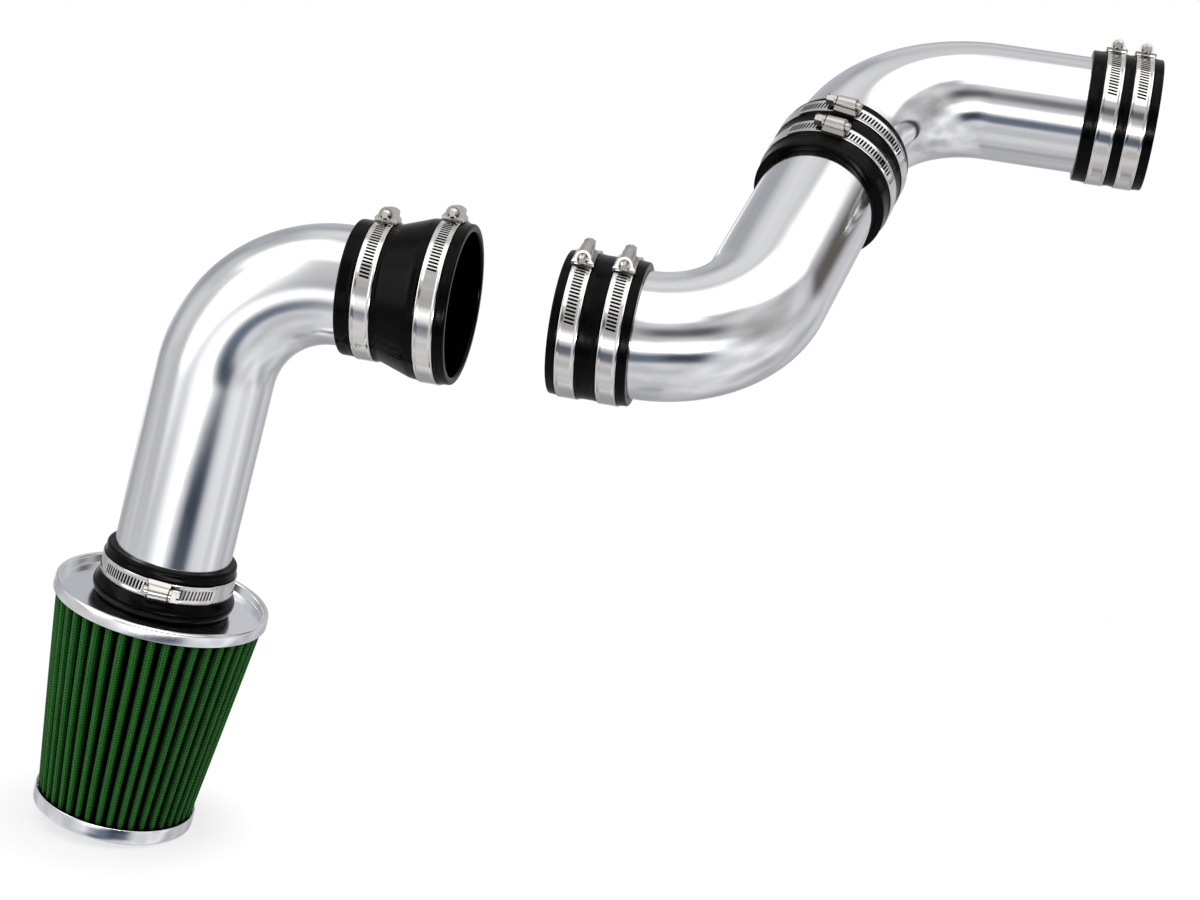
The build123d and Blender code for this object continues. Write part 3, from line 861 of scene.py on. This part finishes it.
def strip_layers(radius, angles, end, closed):
    """The points of a strip's outer and inner layer. One that isn't closed narrows to a rounded end."""
    slant = math.tan(math.radians(SLOT_SLANT)) / radius
    slot = SLOT_LENGTH / 2
    half = BAND_WIDTH / 2
    low = radius - BAND_THICKNESS
    outer = []
    inner = []
    for angle in angles:
        for height, rise in band_rows():
            turned = angle + slant * min(slot, max(-slot, height))
            z = height
            if not closed:
                into_round = max(0.0, TAIL_END_ROUND - (end - angle) * radius)
                cut = TAIL_END_ROUND - math.sqrt(max(0.0, TAIL_END_ROUND**2 - into_round**2))
                z = height * (1 - cut / half)
            outer.append(((radius + rise) * math.cos(turned), (radius + rise) * math.sin(turned), z))
            inner.append((low * math.cos(turned), low * math.sin(turned), z))
    return np.array(outer), np.array(inner)


def strip_faces(marks, closed):
    """The faces of one layer of a strip, with the slots left out and their ends cut to corners."""
    heights = [height for height, rise in band_rows()]
    slot = SLOT_LENGTH / 2
    low_end = heights.index(-slot)
    low_slot = heights.index(-(slot - SLOT_END))
    high_slot = heights.index(slot - SLOT_END)
    count = len(heights)
    columns = len(marks)
    faces = []
    for i in range(columns if closed else columns - 1):
        k = (i + 1) % columns
        mark = marks[i]
        for j in range(count - 1):
            a = i * count + j
            b = k * count + j
            c = b + 1
            d = a + 1
            if mark != NO_SLOT and low_slot <= j < high_slot:
                continue
            if mark == SLOT_MIDDLE and j in (low_end, high_slot):
                continue
            if mark == SLOT_FIRST and j == low_end:
                faces.append((a, b, d))
            elif mark == SLOT_FIRST and j == high_slot:
                faces.append((a, c, d))
            elif mark == SLOT_LAST and j == low_end:
                faces.append((a, b, c))
            elif mark == SLOT_LAST and j == high_slot:
                faces.append((b, c, d))
            else:
                faces.append((a, b, c, d))
    return faces


def strip(radius, start, slot_middles, end, closed):
    """A slotted strip round Z, from one angle to another. One that isn't closed has a rounded end."""
    angles, marks = strip_columns(radius, start, slot_middles, end, closed)
    outer, inner = strip_layers(radius, angles, end, closed)
    return thick_sheet(outer, inner, strip_faces(marks, closed))


def add_clamp(name, kind, place, angle, seat_radius, flip=False):
    """The band with its slots, and its tail that lies over it on the side of the screw's head."""
    where = clamp_place(place, angle, flip)
    radius = seat_radius + BAND_SEAT_GAP + BAND_THICKNESS
    step = SLOT_PITCH / radius
    by_tip = SLOTS_BY_TIP[kind]
    by_head = SLOTS_OUTSIDE_HOUSING - by_tip
    last = -math.asin(FIRST_SLOT_BY_TIP / radius)
    slots = [last - k * step for k in reversed(range(by_tip))]
    start = slots[0] - step
    points, faces = strip(radius, start, slots, start + 2 * math.pi, closed=True)
    look = {"slot": "stainless_clamp", "replaced": [name + "_band"], "sharp": BAND_SHARP_ANGLE}
    add_piece(name + "_band_steel", points, faces, where, **look)

    first = math.asin(FIRST_SLOT_BY_HEAD / radius)
    slots = [first + k * step for k in range(by_head)]
    tail_radius = radius + BAND_BORDER_RISE + TAIL_LIFT + BAND_THICKNESS
    tail_start = -math.asin(TAIL_START / radius)
    tail_end = slots[-1] + TAIL_END_RUN / radius
    points, faces = strip(tail_radius, tail_start, slots, tail_end, closed=False)
    add_piece(name + "_tail_steel", points, faces, where, **look)


throttle_seat = THROTTLE_TUBE_RADIUS + HOSE_WALL
small_seat = ELBOW_TUBE_RADIUS + HOSE_WALL
mouth_seat = REDUCER_MOUTH_INNER_RADIUS + HOSE_WALL
for kind, hose_start, heights, clamp_turn in [
    ("throttle", mouth, throttle_clamps, THROTTLE_CLAMP_TURN),
    ("joint", joint_upper_end, joint_clamps, JOINT_CLAMP_TURN),
    ("meter", meter_hose_start, meter_clamps, METER_CLAMP_TURN),
]:
    for letter, height in zip("ab", heights):
        add_clamp(kind + "_clamp_" + letter, kind, ahead(hose_start, height), clamp_turn, throttle_seat)
for end_name, height, seat in [
    ("mouth", reducer_clamps[0], mouth_seat),
    ("small", reducer_clamps[1], small_seat),
]:
    where = ahead(reducer_mouth, height)
    add_clamp("reducer_clamp_" + end_name, "reducer", where, REDUCER_CLAMP_TURN, seat)
where = ahead(filter_rim, -NECK_CLAMP_HEIGHT)
add_clamp("neck_clamp", "neck", where, NECK_CLAMP_TURN, neck_radius, flip=True)

# The CAD's housings and screws stay as they are and get a duller steel than the bands.
for name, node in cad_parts.items():
    if name.endswith(("_housing", "_screw")):
        node.data.materials.clear()
        node.data.materials.append(HOUSING_STEEL)


# Floor, studio and camera

FLOOR_SIZE = 14.0
FLOOR_COLOR = (0.9, 0.9, 0.9)
WHITE = (1, 1, 1)
# The floor shows its shadow near the filter's foot and is as white as the backdrop further out.
SHADOW_SHARE = 0.4
SHADOW_NEAR = 0.045
SHADOW_FAR = 0.095


def add_floor():
    """A white floor under the filter, with the filter's soft shadow."""
    height = cad_box[0][2]
    mesh = bpy.data.meshes.new("floor")
    half = FLOOR_SIZE / 2
    foot = ahead(filter_rim, FILTER_LENGTH).translation * MM
    corners = [(-half, -half, 0), (half, -half, 0), (half, half, 0), (-half, half, 0)]
    mesh.from_pydata(corners, [], [(0, 1, 2, 3)])
    material = bpy.data.materials.new("pale_floor")
    material.use_nodes = True
    nodes = material.node_tree.nodes
    links = material.node_tree.links
    nodes.clear()
    output = nodes.new("ShaderNodeOutputMaterial")
    diffuse = nodes.new("ShaderNodeBsdfDiffuse")
    diffuse.inputs["Color"].default_value = (*FLOOR_COLOR, 1)
    glow = nodes.new("ShaderNodeEmission")
    glow.inputs["Color"].default_value = (*WHITE, 1)
    away = nodes.new("ShaderNodeVectorMath")
    away.operation = "LENGTH"
    links.new(nodes.new("ShaderNodeTexCoord").outputs["Object"], away.inputs[0])
    own = between(nodes, links, away.outputs["Value"], 1 - SHADOW_SHARE, 1.0, SHADOW_NEAR, SHADOW_FAR)
    seen = nodes.new("ShaderNodeLightPath").outputs["Is Camera Ray"]
    mix = nodes.new("ShaderNodeMixShader")
    links.new(math_node(nodes, links, "MULTIPLY", seen, own), mix.inputs["Fac"])
    links.new(diffuse.outputs[0], mix.inputs[1])
    links.new(glow.outputs[0], mix.inputs[2])
    links.new(mix.outputs[0], output.inputs["Surface"])
    mesh.materials.append(material)
    floor = bpy.data.objects.new("floor", mesh)
    floor.location = (foot.x, foot.y, height)
    floor.visible_glossy = False
    bpy.context.scene.collection.objects.link(floor)


add_floor()

# Soft patches of the studio, by azimuth and elevation in degrees round the photograph's camera:
# azimuth 0 is behind the camera and 90 to its right. Each is (from, to, edge, low, high, edge, colour).
STUDIO_PATCHES = [
    (-180, 180, 0, -100, -14, 10, (0.66, 0.66, 0.68)),
    (95, 200, 24, -50, 60, 20, (0.54, 0.54, 0.565)),
    (-200, -112, 24, -2, 58, 20, (0.42, 0.43, 0.46)),
    (-180, 180, 0, 62, 100, 20, (0.66, 0.66, 0.67)),
    (-200, -155, 20, -75, -10, 14, (0.38, 0.38, 0.4)),
    (163, 200, 16, -60, -10, 14, (0.45, 0.45, 0.47)),
    (-8, 98, 14, 31, 80, 7, (1.5, 1.5, 1.5)),
    (-10, 22, 12, 22, 40, 6, (1.5, 1.5, 1.5)),
    (-92, -14, 20, 41, 82, 12, (1.4, 1.4, 1.4)),
    (-64, -38, 18, -7, 50, 16, (2.4, 2.4, 2.4)),
    (-12, 36, 24, -4, 11, 11, (0.1, 0.1, 0.11)),
    (52, 72, 34, -20, 6, 22, (0.24, 0.235, 0.23)),
    (102, 123, 14, 5, 27, 12, (0.12, 0.11, 0.1)),
    (46, 106, 24, -62, -24, 16, (0.8, 0.8, 0.82)),
    (-35, 44, 20, -29.5, -12, 6, (1.1, 1.12, 1.15)),
    (-20, 32, 14, -26, -19, 5, (10.0, 10.0, 10.0)),
    (-38, 40, 26, -50, -34, 8, (0.1, 0.125, 0.17)),
    (2, 30, 16, -45, -33, 5, (0.035, 0.045, 0.065)),
    (-172, -142, 6, 3, 19, 4, (1.1, 1.1, 1.1)),
]
STUDIO_BASE = (0.55, 0.55, 0.56)
# The patches' light is uneven by these shares, as soft clouds over them.
STUDIO_CLOUDS = (0.8, 1.2)
STUDIO_CLOUD_SCALE = 2.6
STUDIO_CLOUD_DETAIL = 2.0


def camera_axes():
    """The camera's right, its up and the way it looks."""
    look = Vector(CAMERA_LOOK).normalized()
    up = (Vector(CAMERA_UP) - look * look.dot(Vector(CAMERA_UP))).normalized()
    return look.cross(up), up, look


def build_world():
    """The studio as soft patches of light and dark round the object, white where the camera looks."""
    world = bpy.data.worlds.new("studio")
    bpy.context.scene.world = world
    world.use_nodes = True
    nodes = world.node_tree.nodes
    links = world.node_tree.links
    nodes.clear()
    right, up, look = camera_axes()
    direction = nodes.new("ShaderNodeTexCoord").outputs["Generated"]

    def along(axis):
        """How far a direction goes along an axis."""
        node = nodes.new("ShaderNodeVectorMath")
        node.operation = "DOT_PRODUCT"
        node.inputs[1].default_value = axis
        links.new(direction, node.inputs[0])
        return node.outputs["Value"]

    def ramp(source, low, high):
        """A soft step from 0 at low to 1 at high."""
        node = nodes.new("ShaderNodeMapRange")
        node.interpolation_type = "SMOOTHSTEP"
        node.inputs["From Min"].default_value = low
        node.inputs["From Max"].default_value = high
        links.new(source, node.inputs["Value"])
        return node.outputs["Result"]

    def product(first, second):
        return math_node(nodes, links, "MULTIPLY", first, second)

    degree = 180 / math.pi
    azimuth = product(math_node(nodes, links, "ARCTAN2", along(right), along(-look)), degree)
    elevation = product(math_node(nodes, links, "ARCSINE", along(up)), degree)
    color = STUDIO_BASE
    for west, east, side_edge, low, high, edge, value in STUDIO_PATCHES:
        share = ramp(elevation, low - edge / 2, low + edge / 2)
        share = product(share, ramp(elevation, high + edge / 2, high - edge / 2))
        if west > -180:
            share = product(share, ramp(azimuth, west - side_edge / 2, west + side_edge / 2))
        if east < 180:
            share = product(share, ramp(azimuth, east + side_edge / 2, east - side_edge / 2))
        color = blend_colors(nodes, links, share, color, value)
    cloud = nodes.new("ShaderNodeTexNoise")
    cloud.inputs["Scale"].default_value = STUDIO_CLOUD_SCALE
    cloud.inputs["Detail"].default_value = STUDIO_CLOUD_DETAIL
    links.new(direction, cloud.inputs["Vector"])
    uneven = nodes.new("ShaderNodeVectorMath")
    uneven.operation = "SCALE"
    links.new(color, uneven.inputs[0])
    links.new(between(nodes, links, cloud.outputs["Fac"], *STUDIO_CLOUDS), uneven.inputs["Scale"])
    studio = nodes.new("ShaderNodeBackground")
    links.new(uneven.outputs["Vector"], studio.inputs["Color"])
    white = nodes.new("ShaderNodeBackground")
    white.inputs["Color"].default_value = (*WHITE, 1)
    rays = nodes.new("ShaderNodeLightPath")
    mix = nodes.new("ShaderNodeMixShader")
    links.new(rays.outputs["Is Camera Ray"], mix.inputs["Fac"])
    links.new(studio.outputs[0], mix.inputs[1])
    links.new(white.outputs[0], mix.inputs[2])
    output = nodes.new("ShaderNodeOutputWorld")
    links.new(mix.outputs[0], output.inputs["Surface"])


build_world()


def add_camera():
    """The photograph's camera."""
    camera = bpy.data.cameras.new("camera")
    camera.lens = CAMERA_LENS
    camera.sensor_width = CAMERA_SENSOR
    camera.sensor_fit = "HORIZONTAL"
    right, up, look = camera_axes()
    place = Matrix((right, up, -look)).transposed().to_4x4()
    place.translation = Vector(CAMERA_PLACE)
    holder = bpy.data.objects.new("camera", camera)
    holder.matrix_world = place
    bpy.context.scene.collection.objects.link(holder)
    bpy.context.scene.camera = holder


add_camera()
bpy.context.scene.view_settings.view_transform = "Standard"
